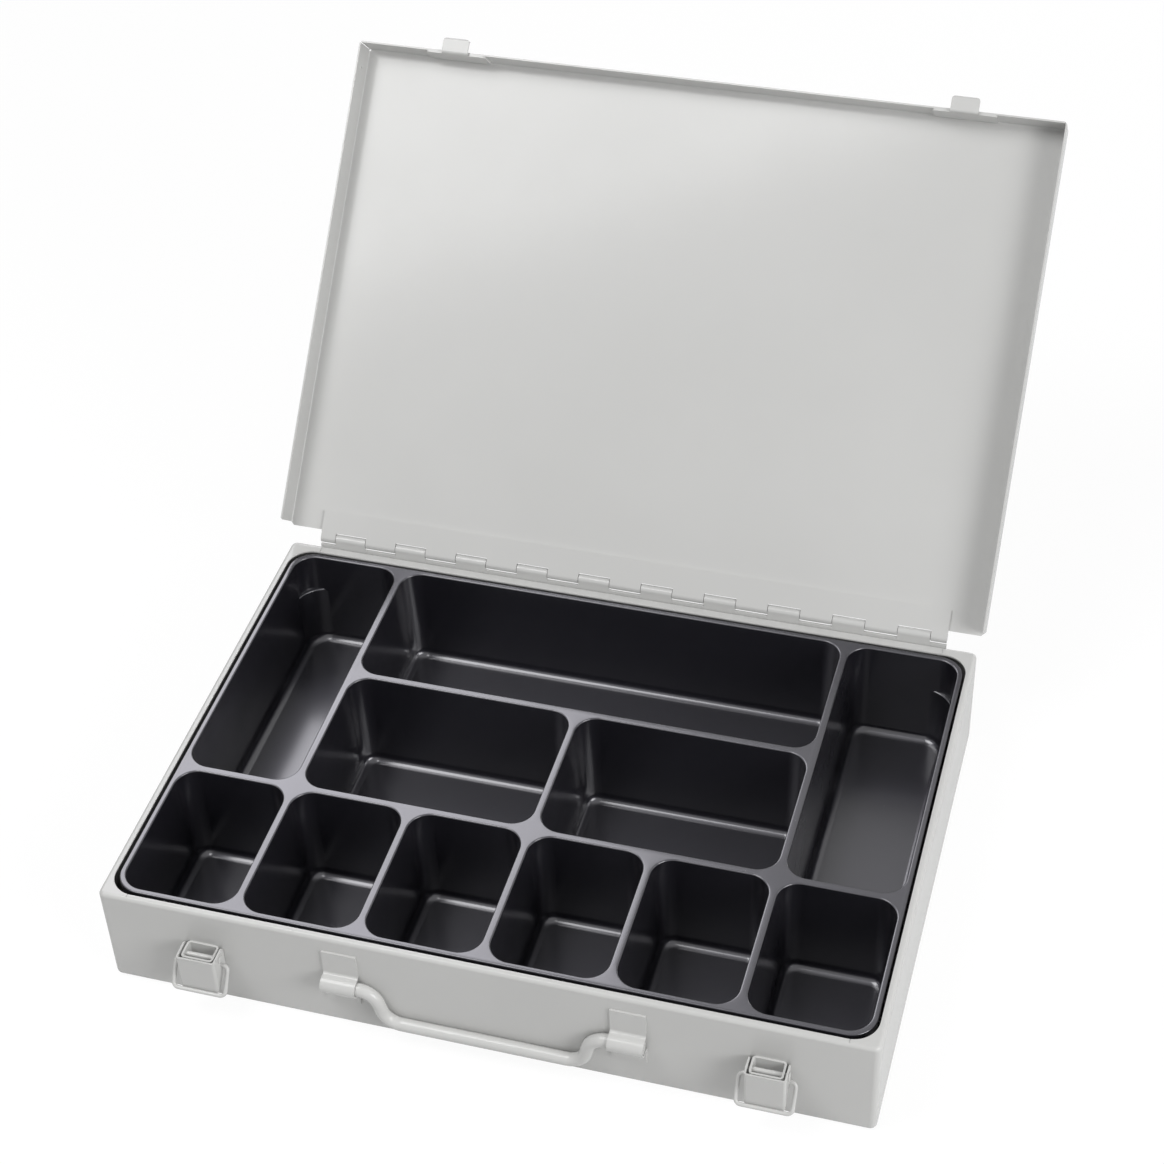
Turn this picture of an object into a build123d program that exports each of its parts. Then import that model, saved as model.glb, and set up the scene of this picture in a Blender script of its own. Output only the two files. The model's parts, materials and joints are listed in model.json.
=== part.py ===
from build123d import *

import os
from math import asin, cos, degrees, radians, sin, sqrt, tan

os.makedirs("parts", exist_ok=True)

# A shallow steel case with a hinged lid, two toggle latches, a drop handle and a loose
# black moulded insert with eleven compartments. The frame is the body's: X to the right,
# Y to the back, Z up, with the origin in the middle of the underside. The lid is open.

# Small round pieces have this many sides, which keeps the model light
round_sides = 12
bail_bend_flats = 3
handle_bend_flats = 5
# How near an edge must lie to a plane to be picked as lying in it
touch = 0.01

# The folded steel body
body_width = 450.0
body_depth = 315.0
body_height = 71.0
sheet = 1.0
body_corner_radius = 4.0
base_fold_radius = 3.8
base_inner_bevel = 1.4
rim_fold_radius = 2.5
rim_side = 4.0
rim_front = 3.8
rim_back = 7.0
rim_corner_radius = 15.0
rim_seam_width = 0.4
rim_seam_depth = 0.4
rim_seam_front_inset = 17.5
rim_seam_back_inset = 21.0

# The piano hinge
knuckle_pitch = 20.55
knuckle_count = 21
knuckle_gap = 0.35
hinge_pin_diameter = 3.0
hinge_pin_play = 0.1
leaf_thickness = 1.5
leaf_width = 17.3
leaf_play = 0.3
leaf_curl_gap = 0.3
leaf_curl_end = 0.4
knuckle_root = 1.1
hinge_axis_rise = 4.5

# The lid, a shallow pan without a back flange
lid_side_clearance = 2.5
lid_front_clearance = 2.4
lid_flange_depth = 20.0
lid_back_edge = 4.7
lid_fold_radius = 2.0
lid_corner_radius = 1.6
lid_corner_slit = 0.6
lid_corner_slit_length = 8.0
lid_corner_hole_diameter = 2.4
lid_side_hole_diameter = 2.0
lid_side_hole_from_front = 15.8
lid_side_hole_drop = 11.4
lid_back_corner_cut = 3.0
open_angle = 133.5

# The two catches inside the lid's front flange
latch_spacing = 328.6
latch_shift = 1.3
catch_width = 40.0
catch_height = 17.5
catch_thickness = 1.2
catch_corner_radius = 2.0
hook_width = 17.5
hook_drop = 1.3
hook_reach = 8.0
hook_tip_rise = 4.2
hook_bend_radius = 1.5
hook_corner_radius = 2.5

# The two toggle latches on the front wall
tube_width = 19.2
tube_depth = 12.3
tube_height = 17.0
tube_wall = 1.2
tube_corner_radius = 2.2
tube_top = 45.8
latch_pin_diameter = 3.0
latch_pin_drop = 3.5
latch_pin_from_wall = 6.5
latch_pin_play = 0.1
latch_head_diameter = 4.8
latch_head_height = 0.8
latch_head_play = 0.1
lever_sheet = 1.0
lever_front_gap = 1.2
lever_side_gap = 1.05
lever_wall_gap = 0.4
lever_top_rise = 0.9
lever_height = 25.0
lever_fold_radius = 1.8
ear_corner_radius = 2.0
ear_waist_back = 2.0
ear_waist_drop = 13.5
ear_foot_back = 3.5
bail_wire_diameter = 2.3
bail_pivot_drop = 5.6
bail_pivot_back = 0.9
bail_hole_play = 0.1
bail_reach = 18.1
bail_half_width = 15.8
bail_bend_radius = 3.0
bail_end_inset = 0.25
bail_rest_gap = 0.2

# The drop handle and its two brackets
handle_shift = 3.1
handle_rod_diameter = 7.8
handle_wall_gap = 0.45
handle_axis_height = 38.0
handle_drop = 23.5
handle_shoulder_x = 63.2
handle_grip_x = 57.6
handle_bend_radius = 12.0
handle_end_inset = 0.3
bracket_spacing = 166.7
bracket_width = 20.4
bracket_strap = 1.2
bracket_rod_play = 0.35
bracket_top = 60.8
bracket_bottom = 21.0
bracket_root_radius = 1.5

# The moulded insert: six columns and three rows of cells, some of them joined
insert_below_rim = 1.0
insert_side_gap = 1.5
insert_front_gap = 3.0
insert_back_gap = 0.6
insert_seat_gap = 0.2
insert_wall = 1.8
insert_floor = 2.0
lip_width = 3.5
lip_corner_radius = 15.5
lip_thickness = 2.0
lip_skirt = 7.0
lip_skirt_wall = 1.2
lip_bevel = 1.0
web_width = 4.8
cell_corner_radius = 13.0
cell_draft = 3.0
cell_floor_radius = 6.0
cell_corner_flats = 4
cell_floor_flats = 3
columns = 6
rows = 3
lug_reach = 20.0
lug_side_round = 9.0
lug_top = 38.0
lug_top_bevel = 2.5
lug_overlap = 0.5
# Each cell as its first column and row, from the left and the front, and how many
# columns and rows it takes
tall_left = (0, 1, 1, 2)
tall_right = (columns - 1, 1, 1, 2)
cells = [(column, 0, 1, 1) for column in range(columns)]
cells += [tall_left, tall_right, (1, 2, columns - 2, 1), (1, 1, 2, 1), (3, 1, 2, 1)]

# Places that follow from the sizes above
front_wall = -body_depth / 2
back_wall = body_depth / 2
hinge_bore_radius = hinge_pin_diameter / 2 + hinge_pin_play
barrel_radius = hinge_bore_radius + leaf_thickness
hinge_y = back_wall + barrel_radius
hinge_z = body_height + hinge_axis_rise
hinge_length = knuckle_pitch * (knuckle_count - 1)
lid_half_width = body_width / 2 + lid_side_clearance + sheet
lid_front = hinge_y - front_wall + lid_front_clearance + sheet
lid_inside = leaf_thickness - barrel_radius
lid_outside = lid_inside + sheet
flange_tip = lid_outside - lid_flange_depth
latch_pin_y = front_wall - latch_pin_from_wall
latch_pin_z = tube_top - latch_pin_drop
bail_pivot_y = latch_pin_y + bail_pivot_back
bail_pivot_z = latch_pin_z - bail_pivot_drop
handle_y = front_wall - handle_wall_gap - handle_rod_diameter / 2

# The lid's own plane while it is open: X along the hinge, Y from the lid's front to the
# hinge, Z out of the lid's outer face
lid_plane = Plane(
    origin=(0, hinge_y, hinge_z),
    x_dir=(1, 0, 0),
    z_dir=(0, sin(radians(open_angle)), cos(radians(open_angle))),
)
lid_section = Plane(origin=lid_plane.origin, x_dir=lid_plane.y_dir, z_dir=lid_plane.x_dir)
lid_backward = Axis(lid_plane.origin, lid_plane.y_dir)
lid_outward = Axis(lid_plane.origin, lid_plane.z_dir)


def save(part, name):
    """Name a finished piece and write it to its own file."""
    part.label = name
    export_step(part, f"parts/{name}.step")


def round_bar(radius):
    """The section of a bar that turns in a bore: its corners lie on the radius."""
    return RegularPolygon(radius, round_sides)


def in_flats(curve, flats):
    """The points of a bent wire's centre line, with each of its bends cut in flats."""
    points = []
    for run in curve.wires()[0].order_edges():
        steps = flats if run.geom_type == GeomType.CIRCLE else 1
        points += [run @ (step / steps) for step in range(steps)]
    return points + [curve.line @ 1]


def round_bore(radius):
    """The section of a bore round such a bar: its flats lie on the radius."""
    return RegularPolygon(radius, round_sides, major_radius=False)


# The body: one folded sheet with its rim turned inward
with BuildPart() as hollow:
    with BuildSketch(Plane.XY.offset(sheet)):
        RectangleRounded(
            body_width - 2 * sheet, body_depth - 2 * sheet, body_corner_radius - sheet
        )
    extrude(amount=body_height - 2 * sheet)
    chamfer(hollow.edges().group_by(Axis.Z)[0], base_inner_bevel)

with BuildPart() as body_shell:
    with BuildSketch():
        RectangleRounded(body_width, body_depth, body_corner_radius)
    extrude(amount=body_height)
    fillet(body_shell.edges().group_by(Axis.Z)[0], base_fold_radius)
    fillet(body_shell.edges().group_by(Axis.Z)[-1], rim_fold_radius)
    add(hollow.part, mode=Mode.SUBTRACT)
    with BuildSketch(Plane.XY.offset(body_height)):
        with Locations((0, (rim_front - rim_back) / 2)):
            RectangleRounded(
                body_width - 2 * rim_side, body_depth - rim_front - rim_back, rim_corner_radius
            )
    extrude(amount=-2 * sheet, mode=Mode.SUBTRACT)
    # The seams where the front and back rims meet the side rims
    with BuildSketch(Plane.XY.offset(body_height)):
        for side in (-1, 1):
            with Locations((side * (body_width / 2 - rim_seam_front_inset), front_wall)):
                Rectangle(rim_seam_width, 2 * rim_front, align=(Align.CENTER, Align.MIN))
            with Locations((side * (body_width / 2 - rim_seam_back_inset), back_wall)):
                Rectangle(rim_seam_width, 2 * rim_back, align=(Align.CENTER, Align.MAX))
    extrude(amount=-rim_seam_depth, mode=Mode.SUBTRACT)
save(body_shell.part, "body_shell")


def knuckle_spans(first):
    """The middle and length of every second knuckle along the hinge, from the first one.

    The knuckles at the two ends are half as long."""
    last = knuckle_count - 1
    for number in range(first, knuckle_count, 2):
        middle = (number - last / 2) * knuckle_pitch
        if number in (0, last):
            toward_middle = 1 if number == 0 else -1
            yield middle + toward_middle * knuckle_pitch / 4, knuckle_pitch / 2 - knuckle_gap
        else:
            yield middle, knuckle_pitch - knuckle_gap


def hinge_leaf(section, first):
    """One leaf of the hinge: a plate tangent to the barrel, slotted for the other leaf's
    knuckles, with its own knuckles rolled round the pin.

    section crosses the hinge with its origin on the axis. The plate lies on its -X side
    and runs along its -Y."""
    slot_edge = barrel_radius + leaf_play
    with BuildPart() as leaf:
        with BuildSketch(section.offset(-hinge_length / 2)):
            with Locations((-barrel_radius, -slot_edge)):
                Rectangle(leaf_thickness, leaf_width - slot_edge, align=(Align.MIN, Align.MAX))
        extrude(amount=hinge_length)
        for middle, length in knuckle_spans(first):
            with BuildSketch(section.offset(middle - length / 2)):
                round_bar(barrel_radius)
                with Locations((-barrel_radius, 0)):
                    Rectangle(
                        leaf_thickness, slot_edge + knuckle_root, align=(Align.MIN, Align.MAX)
                    )
                # The rolled end stops short of the plate
                with Locations((leaf_thickness - barrel_radius, -barrel_radius)):
                    Rectangle(
                        leaf_curl_gap,
                        barrel_radius - leaf_curl_end,
                        align=(Align.MIN, Align.MIN),
                        mode=Mode.SUBTRACT,
                    )
            extrude(amount=length)
            with BuildSketch(section.offset(middle - length / 2)):
                round_bore(hinge_bore_radius)
            extrude(amount=length, mode=Mode.SUBTRACT)
    return leaf.part


# The hinge: one leaf upright outside the back wall, one inside the lid, and the pin
body_leaf_section = Plane(origin=lid_plane.origin, x_dir=(0, 1, 0), z_dir=(1, 0, 0))
lid_leaf_section = Plane(
    origin=lid_plane.origin, x_dir=lid_plane.z_dir, z_dir=lid_plane.x_dir * -1
)
save(hinge_leaf(body_leaf_section, 1), "hinge_leaf_body")
save(hinge_leaf(lid_leaf_section, 0), "hinge_leaf_lid")

with BuildPart() as hinge_pin:
    with BuildSketch(body_leaf_section.offset(-hinge_length / 2)):
        round_bar(hinge_pin_diameter / 2)
    extrude(amount=hinge_length)
save(hinge_pin.part, "hinge_pin")


def lid_pan(inset, back_edge):
    """The lid's outer shape, or its hollow when it is set in by one sheet."""
    with BuildPart() as pan:
        with BuildSketch(lid_plane.offset(flange_tip)):
            with Locations((0, inset - lid_front)):
                Rectangle(
                    2 * (lid_half_width - inset),
                    lid_front - inset - back_edge,
                    align=(Align.CENTER, Align.MIN),
                )
        extrude(amount=lid_flange_depth - inset)
        upright = pan.edges().filter_by(lid_outward).group_by(lid_backward)[0]
        fillet(upright, lid_corner_radius - inset)
        around = pan.edges().group_by(lid_outward)[-1]
        fillet(around - around.group_by(lid_backward)[-1], lid_fold_radius - inset)
    return pan.part


# The lid: a folded pan with flanges at the front and the sides
with BuildPart() as lid_shell:
    add(lid_pan(0, lid_back_edge))
    add(lid_pan(sheet, -lid_back_edge), mode=Mode.SUBTRACT)
    # The flanges meet at a slit across each front corner, with a relief hole at its root
    with BuildSketch(lid_plane.offset(flange_tip)):
        for side in (-1, 1):
            with Locations((side * lid_half_width, -lid_front)):
                Rectangle(lid_corner_slit_length, lid_corner_slit, rotation=side * -45)
    extrude(amount=lid_flange_depth - 2 * sheet, mode=Mode.SUBTRACT)
    with BuildSketch(lid_plane.offset(lid_outside)):
        for side in (-1, 1):
            corner = lid_half_width - sheet
            with Locations((side * corner, sheet - lid_front)):
                Circle(lid_corner_hole_diameter / 2)
    extrude(amount=-4 * sheet, mode=Mode.SUBTRACT)
    with BuildSketch(lid_section.offset(-lid_half_width)):
        with Locations((lid_side_hole_from_front - lid_front, lid_outside - lid_side_hole_drop)):
            Circle(lid_side_hole_diameter / 2)
    extrude(amount=2 * lid_half_width, mode=Mode.SUBTRACT)
    # The back corners of the sheet are cut off
    cut_side = sqrt(2) * lid_back_corner_cut
    with BuildSketch(lid_plane.offset(flange_tip)):
        for side in (-1, 1):
            with Locations((side * lid_half_width, -lid_back_edge)):
                Rectangle(cut_side, cut_side, rotation=45)
    extrude(amount=lid_flange_depth, mode=Mode.SUBTRACT)
save(lid_shell.part, "lid_shell")


def lid_catch(middle):
    """A catch plate on the inside of the lid's front flange, with a hook that passes under
    the flange's edge and turns up in front of it."""
    inner = catch_thickness + sheet - lid_front
    lower = flange_tip - hook_drop - catch_thickness
    outer = -lid_front - hook_reach
    with BuildPart() as hook:
        with BuildSketch(lid_section.offset(middle - hook_width / 2)):
            with BuildLine():
                bent = FilletPolyline(
                    (inner, flange_tip + catch_thickness),
                    (inner, lower),
                    (outer, lower),
                    (outer, lower + hook_tip_rise),
                    radius=hook_bend_radius,
                )
                offset(bent, amount=catch_thickness, side=Side.RIGHT)
            make_face()
        extrude(amount=hook_width)
        with BuildSketch(lid_plane.offset(lower)):
            with Locations((middle, outer)):
                RectangleRounded(
                    hook_width,
                    hook_reach + lid_flange_depth,
                    hook_corner_radius,
                    align=(Align.CENTER, Align.MIN),
                )
        extrude(amount=catch_height, mode=Mode.INTERSECT)
    with BuildPart() as catch:
        with BuildSketch(lid_plane.offset(flange_tip)):
            with Locations((middle, inner)):
                Rectangle(catch_width, catch_thickness, align=(Align.CENTER, Align.MAX))
        extrude(amount=catch_height)
        fillet(catch.edges().filter_by(lid_backward), catch_corner_radius)
        add(hook.part)
    return catch.part


def latch_tube(middle):
    """The fixed part of a latch: a rectangular sheet tube with its open end up."""
    with BuildPart() as tube:
        with BuildSketch(Plane.XY.offset(tube_top - tube_height)):
            with Locations((middle, front_wall - tube_depth / 2)):
                RectangleRounded(tube_width, tube_depth, tube_corner_radius)
                Rectangle(
                    tube_width - 2 * tube_wall, tube_depth - 2 * tube_wall, mode=Mode.SUBTRACT
                )
        extrude(amount=tube_height)
        with BuildSketch(Plane.YZ.offset(middle - tube_width)):
            with Locations((latch_pin_y, latch_pin_z)):
                round_bar(latch_pin_diameter / 2)
        extrude(amount=2 * tube_width, mode=Mode.SUBTRACT)
    return tube.part


# The lever covers the tube: its folded width and its front face follow from the tube
lever_half_width = tube_width / 2 + lever_side_gap + lever_sheet
lever_front_y = front_wall - tube_depth - lever_front_gap - lever_sheet
lever_top = tube_top + lever_top_rise
ear_reach = latch_pin_from_wall - lever_wall_gap
# The bail hangs until its crossbar almost touches the front of the lever
bail_rest_y = lever_front_y - bail_rest_gap - bail_wire_diameter / 2
bail_hang_angle = degrees(asin((bail_pivot_y - bail_rest_y) / bail_reach))


def latch_pin(middle):
    """A rivet through the tube and both ears of the lever."""
    with BuildPart() as pin:
        with BuildSketch(Plane.YZ.offset(middle - lever_half_width - latch_head_play)):
            with Locations((latch_pin_y, latch_pin_z)):
                round_bar(latch_pin_diameter / 2)
        extrude(amount=2 * (lever_half_width + latch_head_play))
        for side in (-1, 1):
            start = middle + side * (lever_half_width + latch_head_play)
            with BuildSketch(Plane.YZ.offset(start)):
                with Locations((latch_pin_y, latch_pin_z)):
                    round_bar(latch_head_diameter / 2)
            extrude(amount=side * latch_head_height)
        chamfer(pin.edges().group_by(Axis.X)[0], latch_head_height / 2)
        chamfer(pin.edges().group_by(Axis.X)[-1], latch_head_height / 2)
    return pin.part


def latch_lever(middle):
    """The lever: a front plate with an ear folded back on each side of the tube."""
    foot = lever_top - lever_height
    with BuildPart() as lever:
        with BuildSketch(Plane.YZ.offset(middle - lever_half_width)) as ear:
            with BuildLine():
                # The ear's back is rounded about the pin, so that it clears the wall
                back = CenterArc(
                    (latch_pin_y, latch_pin_z),
                    ear_reach,
                    0,
                    degrees(asin((lever_top - latch_pin_z) / ear_reach)),
                )
                Polyline(
                    back @ 1,
                    (lever_front_y, lever_top),
                    (lever_front_y, foot),
                    (lever_front_y + ear_foot_back, foot),
                    (latch_pin_y + ear_waist_back, latch_pin_z - ear_waist_drop),
                    back @ 0,
                )
            make_face()
            fillet(ear.vertices().sort_by(Axis.X)[-3:-1], ear_corner_radius)
        extrude(amount=2 * lever_half_width)
        fillet(lever.edges().filter_by(Axis.Z).group_by(Axis.Y)[0], lever_fold_radius)
        with BuildSketch(Plane.XY.offset(foot)):
            with Locations((middle, lever_front_y + lever_sheet)):
                Rectangle(
                    2 * (lever_half_width - lever_sheet),
                    front_wall - lever_front_y,
                    align=(Align.CENTER, Align.MIN),
                )
        extrude(amount=lever_height, mode=Mode.SUBTRACT)
        with BuildSketch(Plane.YZ.offset(middle - lever_half_width)):
            with Locations((latch_pin_y, latch_pin_z)):
                round_bore(latch_pin_diameter / 2 + latch_pin_play)
            with Locations((bail_pivot_y, bail_pivot_z)):
                round_bore(bail_wire_diameter / 2 + bail_hole_play)
        extrude(amount=2 * lever_half_width, mode=Mode.SUBTRACT)
    return lever.part


def latch_bail(middle):
    """The wire bail, which hangs with its crossbar against the lever's foot."""
    hang = radians(bail_hang_angle)
    swing = Plane(
        origin=(middle, bail_pivot_y, bail_pivot_z),
        x_dir=(1, 0, 0),
        z_dir=(0, -cos(hang), sin(hang)),
    )
    stub = lever_half_width - lever_sheet - bail_end_inset
    with BuildLine(swing) as bent:
        FilletPolyline(
            (-stub, 0),
            (-bail_half_width, 0),
            (-bail_half_width, -bail_reach),
            (bail_half_width, -bail_reach),
            (bail_half_width, 0),
            (stub, 0),
            radius=bail_bend_radius,
        )
    with BuildPart() as bail:
        with BuildLine():
            Polyline(*in_flats(bent, bail_bend_flats))
        with BuildSketch(Plane(origin=bent.line @ 0, x_dir=(0, 0, 1), z_dir=(-1, 0, 0))):
            round_bar(bail_wire_diameter / 2)
        sweep(transition=Transition.RIGHT)
    return bail.part


for name, side in (("left", -1), ("right", 1)):
    latch_x = latch_shift + side * latch_spacing / 2
    save(lid_catch(latch_x), f"lid_catch_{name}")
    save(latch_tube(latch_x), f"latch_tube_{name}")
    save(latch_pin(latch_x), f"latch_pin_{name}")
    save(latch_lever(latch_x), f"latch_lever_{name}")
    save(latch_bail(latch_x), f"latch_bail_{name}")


def handle_bracket(middle):
    """A strap on the front wall, bulged out into a half-round bearing for the rod."""
    hollow = handle_rod_diameter / 2 + bracket_rod_play
    bulge = hollow + bracket_strap
    with BuildPart() as bracket:
        with BuildSketch(Plane.YZ.offset(middle - bracket_width / 2)):
            with Locations((front_wall, bracket_bottom)):
                Rectangle(
                    bracket_strap, bracket_top - bracket_bottom, align=(Align.MAX, Align.MIN)
                )
            with Locations((handle_y, handle_axis_height)):
                Circle(bulge)
                Rectangle(front_wall - handle_y, 2 * bulge, align=(Align.MIN, Align.CENTER))
            with Locations((front_wall, handle_axis_height)):
                Rectangle(
                    bulge, 2 * bulge, align=(Align.MIN, Align.CENTER), mode=Mode.SUBTRACT
                )
        extrude(amount=bracket_width)
        strap_front = front_wall - bracket_strap
        roots = bracket.edges().filter_by(Axis.X).filter_by_position(
            Axis.Y, strap_front - touch, strap_front + touch
        )
        roots = roots.filter_by_position(
            Axis.Z, handle_axis_height - bulge - touch, handle_axis_height + bulge + touch
        )
        fillet(roots, bracket_root_radius)
        with BuildSketch(Plane.YZ.offset(middle - bracket_width / 2)):
            with Locations((handle_y, handle_axis_height)):
                Circle(hollow)
                Rectangle(front_wall - handle_y, 2 * hollow, align=(Align.MIN, Align.CENTER))
        extrude(amount=bracket_width, mode=Mode.SUBTRACT)
    return bracket.part


for name, side in (("left", -1), ("right", 1)):
    save(handle_bracket(handle_shift + side * bracket_spacing / 2), f"handle_bracket_{name}")

# The handle: one round rod, bent down from each bracket to the grip
rod_end = bracket_spacing / 2 + bracket_width / 2 - handle_end_inset
grip_height = handle_axis_height - handle_drop
with BuildLine(Plane(origin=(handle_shift, handle_y, 0), x_dir=(1, 0, 0), z_dir=(0, -1, 0))) as rod:
    FilletPolyline(
        (-rod_end, handle_axis_height),
        (-handle_shoulder_x, handle_axis_height),
        (-handle_grip_x, grip_height),
        (handle_grip_x, grip_height),
        (handle_shoulder_x, handle_axis_height),
        (rod_end, handle_axis_height),
        radius=handle_bend_radius,
    )
with BuildPart() as carry_handle:
    with BuildLine():
        Polyline(*in_flats(rod, handle_bend_flats))
    with BuildSketch(Plane(origin=rod.line @ 0, x_dir=(0, 0, 1), z_dir=(1, 0, 0))):
        round_bar(handle_rod_diameter / 2)
    sweep(transition=Transition.RIGHT)
save(carry_handle.part, "carry_handle")

# The insert fills the rim's opening, less its gaps, and stands on the body's floor
lip_front = front_wall + rim_front + insert_front_gap
lip_back = back_wall - rim_back - insert_back_gap
lip_half_width = body_width / 2 - rim_side - insert_side_gap
lip_middle = (lip_front + lip_back) / 2
insert_top = body_height - insert_below_rim
insert_foot = sheet + insert_seat_gap
cell_bottom = insert_foot + insert_floor
cell_left = lip_width - lip_half_width
cell_front = lip_front + lip_width
column_width = (2 * (lip_half_width - lip_width) - (columns - 1) * web_width) / columns
row_depth = (lip_back - lip_front - 2 * lip_width - (rows - 1) * web_width) / rows


def cell_place(cell):
    """The middle of one cell's mouth, with its width and its depth."""
    column, row, across, deep = cell
    width = across * (column_width + web_width) - web_width
    depth = deep * (row_depth + web_width) - web_width
    x = cell_left + column * (column_width + web_width) + width / 2
    y = cell_front + row * (row_depth + web_width) + depth / 2
    return x, y, width, depth


def cell_outline(cell, level, inset):
    """The points of one cell's outline, set in from its mouth, with its corners in flats."""
    x, y, width, depth = cell_place(cell)
    radius = cell_corner_radius - inset
    points = []
    for right, back, start in ((1, 1, 0), (-1, 1, 90), (-1, -1, 180), (1, -1, 270)):
        for step in range(cell_corner_flats + 1):
            turn = radians(start + 90 * step / cell_corner_flats)
            point_x = x + right * (width / 2 - cell_corner_radius) + radius * cos(turn)
            point_y = y + back * (depth / 2 - cell_corner_radius) + radius * sin(turn)
            points.append((point_x, point_y, level))
    return points


def cell_form(cell, grow, foot, floor_flats):
    """One cell's drafted hollow with a rounded floor, or its tub when it grows by a wall."""
    floor_radius = cell_floor_radius + grow
    wall_inset = (insert_top - foot - floor_radius) * tan(radians(cell_draft)) - grow
    rings = [cell_outline(cell, insert_top, -grow)]
    for step in range(floor_flats + 1):
        turn = radians(90 * step / floor_flats)
        level = foot + floor_radius * (1 - sin(turn))
        rings.append(cell_outline(cell, level, wall_inset + floor_radius * (1 - cos(turn))))
    faces = [Face(Wire.make_polygon(rings[0])), Face(Wire.make_polygon(rings[-1]))]
    for upper, lower in zip(rings, rings[1:]):
        for here in range(len(upper)):
            flat = (upper[here - 1], upper[here], lower[here], lower[here - 1])
            faces.append(Face(Wire.make_polygon(flat)))
    return Solid(Shell(faces))


def corner_lug(cell, side):
    """A rounded lug that stands on the floor in a cell's back corner."""
    x, y, width, depth = cell_place(cell)
    with BuildPart() as lug:
        with BuildSketch(Plane.XY.offset(cell_bottom - lug_overlap)):
            with Locations((x + side * width / 2, y + depth / 2)):
                RectangleRounded(2 * lug_reach, 2 * lug_reach, lug_side_round)
        extrude(amount=lug_top - cell_bottom + lug_overlap)
        chamfer(lug.edges().group_by(Axis.Z)[-1], lug_top_bevel)
        space = cell_form(cell, lug_overlap, cell_bottom - lug_overlap, cell_floor_flats)
        add(space, mode=Mode.INTERSECT)
    return lug.part


with BuildPart() as compartment_insert:
    for cell in cells:
        add(cell_form(cell, insert_wall, insert_foot, cell_floor_flats - 1))
    with BuildSketch(Plane.XY.offset(insert_top - lip_skirt)):
        with Locations((0, lip_middle)):
            RectangleRounded(2 * lip_half_width, lip_back - lip_front, lip_corner_radius)
            RectangleRounded(
                2 * (lip_half_width - lip_skirt_wall),
                lip_back - lip_front - 2 * lip_skirt_wall,
                lip_corner_radius - lip_skirt_wall,
                mode=Mode.SUBTRACT,
            )
    extrude(amount=lip_skirt)
    with BuildSketch(Plane.XY.offset(insert_top - lip_thickness)):
        with Locations((0, lip_middle)):
            RectangleRounded(2 * lip_half_width, lip_back - lip_front, lip_corner_radius)
    extrude(amount=lip_thickness)
    chamfer(compartment_insert.edges().group_by(Axis.Z)[-1], lip_bevel)
    for cell in cells:
        add(cell_form(cell, 0, cell_bottom, cell_floor_flats), mode=Mode.SUBTRACT)
    add(corner_lug(tall_left, -1))
    add(corner_lug(tall_right, 1))
save(compartment_insert.part, "compartment_insert")
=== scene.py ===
# %% [markdown]
# # A steel compartment box, dressed in Blender
#
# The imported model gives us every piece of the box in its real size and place, as plain
# triangles. In this lesson we keep that frame and give the box its looks: folded sheet
# steel with a smooth enamel, a piano hinge with rolled knuckles, wire latches, a bent rod
# handle and a glossy black moulded insert. The first cell loads the frame and remembers
# its bounding box, because the finished pieces must stay inside it.

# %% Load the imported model
import json
import math

import bmesh
import bpy
from mathutils import Matrix, Vector


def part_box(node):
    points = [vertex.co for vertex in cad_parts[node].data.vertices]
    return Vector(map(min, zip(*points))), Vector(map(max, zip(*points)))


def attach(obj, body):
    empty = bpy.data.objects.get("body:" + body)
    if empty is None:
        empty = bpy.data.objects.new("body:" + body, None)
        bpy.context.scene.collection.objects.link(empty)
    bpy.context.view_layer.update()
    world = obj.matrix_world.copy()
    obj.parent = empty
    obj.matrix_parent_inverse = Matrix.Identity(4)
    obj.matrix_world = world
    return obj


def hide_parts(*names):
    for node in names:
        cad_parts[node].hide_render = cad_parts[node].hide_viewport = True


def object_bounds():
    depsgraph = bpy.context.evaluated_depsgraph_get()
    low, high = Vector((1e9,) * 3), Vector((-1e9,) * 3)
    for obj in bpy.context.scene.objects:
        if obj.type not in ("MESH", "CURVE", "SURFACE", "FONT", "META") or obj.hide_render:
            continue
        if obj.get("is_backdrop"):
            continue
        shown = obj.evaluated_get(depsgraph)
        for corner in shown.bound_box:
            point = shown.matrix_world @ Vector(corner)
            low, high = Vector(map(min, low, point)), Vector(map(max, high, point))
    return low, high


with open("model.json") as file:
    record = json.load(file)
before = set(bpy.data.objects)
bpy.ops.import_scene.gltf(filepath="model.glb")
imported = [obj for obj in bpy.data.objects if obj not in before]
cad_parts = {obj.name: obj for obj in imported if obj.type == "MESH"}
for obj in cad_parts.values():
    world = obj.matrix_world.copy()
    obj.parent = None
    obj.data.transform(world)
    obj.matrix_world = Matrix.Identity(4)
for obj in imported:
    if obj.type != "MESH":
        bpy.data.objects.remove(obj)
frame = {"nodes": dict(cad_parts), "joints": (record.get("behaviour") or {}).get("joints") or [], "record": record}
cad_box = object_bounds()
print("nodes", len(frame["nodes"]))

# %% [markdown]
# ## The camera
#
# A picture only compares with a photograph when both are taken from the same place. The
# camera stands in front of the box, a little to its right, and looks down at about forty
# degrees through a long lens, which keeps the sides of the box nearly parallel. We build
# its three axes from two angles and a small roll, and put them in one matrix, because
# that leaves no doubt about the order of the turns.

# %% Place the camera
MM = 0.001
IMAGE_PIXELS, FOCAL_PIXELS, SENSOR = 1164, 2519.71, 36
CAMERA_TURNS = {"azimuth": 17.549, "elevation": 41.65, "roll": -2.609}
CAMERA_PLACE = Vector((333.4, -985.4, 1141.9))
VIEW_REACH = 50


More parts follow.
